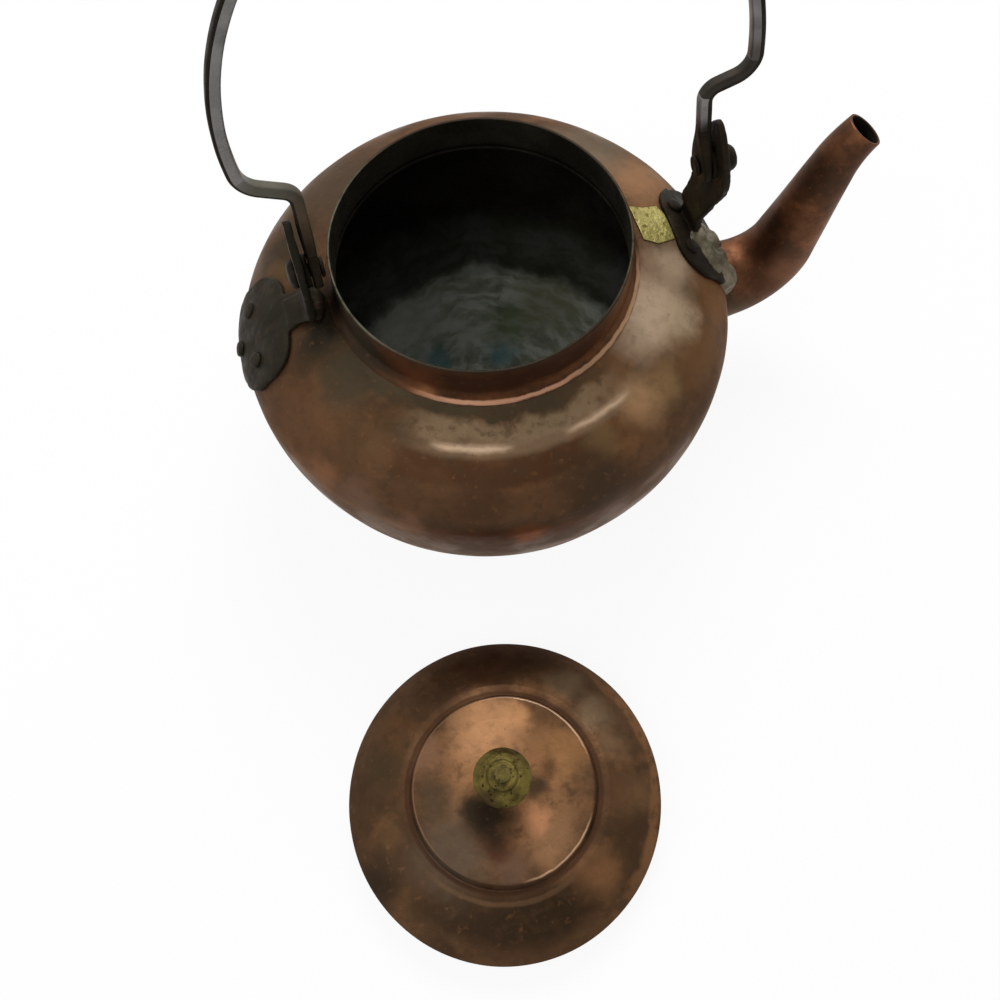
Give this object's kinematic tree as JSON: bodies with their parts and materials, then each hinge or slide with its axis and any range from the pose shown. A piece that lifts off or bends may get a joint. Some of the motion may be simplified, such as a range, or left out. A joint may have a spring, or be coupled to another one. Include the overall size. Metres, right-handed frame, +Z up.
{
  "type": "tea kettle",
  "caption": "Round-bellied copper tea kettle with a gooseneck spout, a swinging iron bail between riveted lugs and a loose knobbed lid lying beside it.",
  "frame": {"origin": "centre of the kettle's base, on the surface that it stands on", "axes": "+Z up through the mouth; +X towards the spout and along the bail's pivot axis; -Y towards the lid, which lies in front"},
  "size_m": [0.3057, 0.3757, 0.3428],
  "materials": {
    "copper": "dull brown patina with worn warm patches",
    "copper_neck": "reddish brown patina",
    "lid_copper": "brown patina, brighter on the crown",
    "knob_brass": "olive tarnished cast brass with pits",
    "patch_brass": "yellow brass, dull",
    "braze": "grey-green lumpy solder",
    "lug_iron": "dark forged iron, stained",
    "bail_iron": "dark forged bar, worn smooth"
  },
  "bodies": {
    "kettle": {"belly_shell": "copper", "base_pan": "copper", "neck_collar": "copper_neck", "brass_patch": "patch_brass", "spout": "copper", "spout_braze": "braze", "left_lug": "lug_iron", "right_lug": "lug_iron", "left_lug_rivets": "lug_iron", "right_lug_rivets": "lug_iron", "left_lug_solder": "braze", "left_pivot_rivet": "lug_iron", "right_pivot_rivet": "lug_iron", "left_pivot_washer": "lug_iron", "right_pivot_washer": "lug_iron"},
    "bail": {"bail": "bail_iron"},
    "lid": {"lid_cover": "lid_copper", "lid_bezel": "lid_copper", "knob": "knob_brass", "knob_tang": "lug_iron", "tang_washer": "knob_brass"}
  },
  "joints": [
    {"name": "bail_swing", "type": "hinge", "parent": "kettle", "child": "bail", "pos_m": [0.0143, 0, 0.1525], "axis": [1, 0, 0], "range_deg": [-120, 140]},
    {"name": "lid_lift", "type": "slide", "parent": "kettle", "child": "lid", "axis": [0, 0, 1], "range_m": [0, 0.2]}
  ]
}
